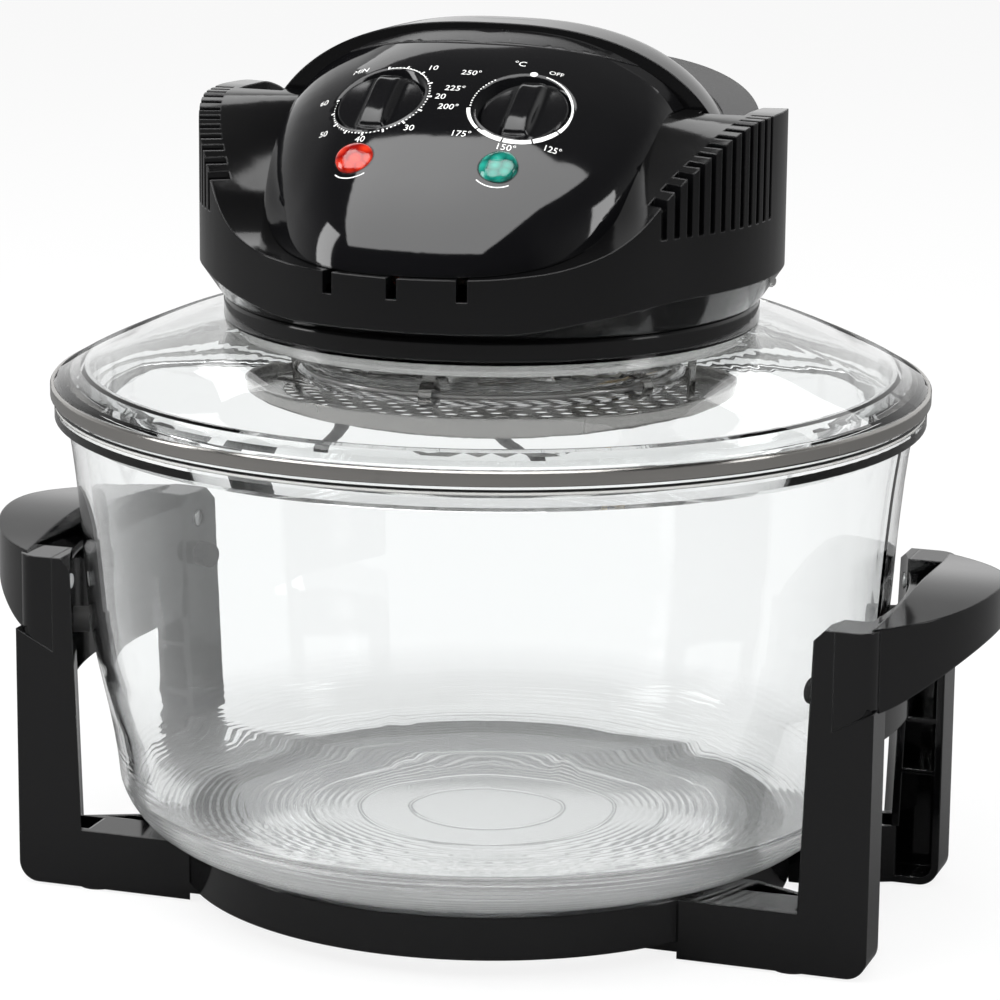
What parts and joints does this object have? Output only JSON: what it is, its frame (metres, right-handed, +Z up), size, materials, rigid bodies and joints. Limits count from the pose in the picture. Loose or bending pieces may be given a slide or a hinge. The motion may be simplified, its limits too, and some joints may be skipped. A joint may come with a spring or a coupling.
{
  "type": "halogen oven",
  "caption": "Countertop halogen oven with a glass bowl in a black two-sided stand, a glass lid and a domed black control head with two dials and a folding carry handle.",
  "frame": {"origin": "Centre of the bottom, on the table, under the middle of the bowl", "axes": "+X to the right handle, -Y to the front with the controls, +Z up"},
  "size_m": [0.402, 0.357, 0.3375],
  "materials": {
    "black_plastic": "satin",
    "gloss_black": "glossy",
    "bowl_glass": "clear",
    "lid_glass_slot": "clear",
    "steel_band": "satin",
    "bright_steel": "bright",
    "guard_steel": "satin",
    "zinc": "dull",
    "rubber_black": "matte",
    "silicone": "matte",
    "ceramic_white": "matte",
    "quartz": "clear",
    "coil_wire": "dull",
    "red_lens": "translucent",
    "green_lens": "translucent",
    "lamp_glass": "clear",
    "motor_iron": "satin",
    "brass_slot": "satin",
    "cord_black": "satin",
    "nylon_white": "satin"
  },
  "bodies": {
    "stand": {"base_ring": "black_plastic", "side_frame_right": "gloss_black", "side_frame_left": "gloss_black", "bow_handle_right": "gloss_black", "bow_handle_left": "gloss_black", "bowl_bumpers": "rubber_black", "foot_pads": "rubber_black", "frame_screws": "zinc", "bow_handle_screws": "zinc"},
    "bowl": {"glass_bowl": "bowl_glass"},
    "lid": {"glass_lid": "lid_glass_slot", "lid_rim_band": "steel_band", "lid_gasket": "silicone", "lid_flange": "black_plastic", "base_plate": "zinc", "head_housing": "black_plastic", "control_panel": "gloss_black", "power_lens": "red_lens", "heat_lens": "green_lens", "pilot_lamps": "lamp_glass", "timer_body": "zinc", "timer_bell": "bright_steel", "thermostat_body": "zinc", "thermostat_bulb": "brass_slot", "handle_pins": "bright_steel", "safety_switch": "nylon_white", "terminal_block": "nylon_white", "fan_motor": "motor_iron", "motor_bracket": "zinc", "reflector": "bright_steel", "halogen_tube": "quartz", "heating_coil": "coil_wire", "tube_end_caps": "ceramic_white", "tube_clips": "guard_steel", "guard_posts": "guard_steel", "guard_tray": "guard_steel", "housing_screws": "zinc", "clamp_screws": "zinc", "cord_strain_relief": "rubber_black", "mains_cord": "cord_black", "cord_hank": "cord_black", "mains_plug": "rubber_black"},
    "carry_handle": {"carry_handle": "gloss_black"},
    "timer_knob": {"timer_knob": "black_plastic"},
    "thermostat_knob": {"thermostat_knob": "black_plastic"},
    "rotor": {"motor_shaft": "bright_steel", "cooling_fan": "zinc", "convection_fan": "bright_steel"},
    "switch_plunger": {"switch_plunger": "nylon_white"}
  },
  "joints": [
    {"name": "bowl_lift", "type": "slide", "parent": "stand", "child": "bowl", "axis": [0, 0, 1], "range_m": [0, 0.2]},
    {"name": "lid_lift", "type": "slide", "parent": "bowl", "child": "lid", "axis": [0, 0, 1], "range_m": [0, 0.15]},
    {"name": "carry_hinge", "type": "hinge", "parent": "lid", "child": "carry_handle", "pos_m": [0, 0.004, 0.285], "axis": [1, 0, 0], "range_deg": [0, 70]},
    {"name": "timer_turn", "type": "hinge", "parent": "lid", "child": "timer_knob", "pos_m": [-0.0278, -0.0488, 0.313], "axis": [0, 0.5592, -0.829], "range_deg": [0, 300]},
    {"name": "thermostat_turn", "type": "hinge", "parent": "lid", "child": "thermostat_knob", "pos_m": [0.0278, -0.0488, 0.313], "axis": [0, 0.5592, -0.829], "range_deg": [0, 270]},
    {"name": "fan_spin", "type": "hinge", "parent": "lid", "child": "rotor", "pos_m": [0, 0, 0.248], "axis": [0, 0, 1], "continuous": true},
    {"name": "plunger_slide", "type": "slide", "parent": "lid", "child": "switch_plunger", "axis": [0, 0, 1], "range_m": [0, 0.002]}
  ],
  "couplings": [
    {"joint": "plunger_slide", "follows": "carry_hinge", "m_per_rad": 0.0016369}
  ]
}
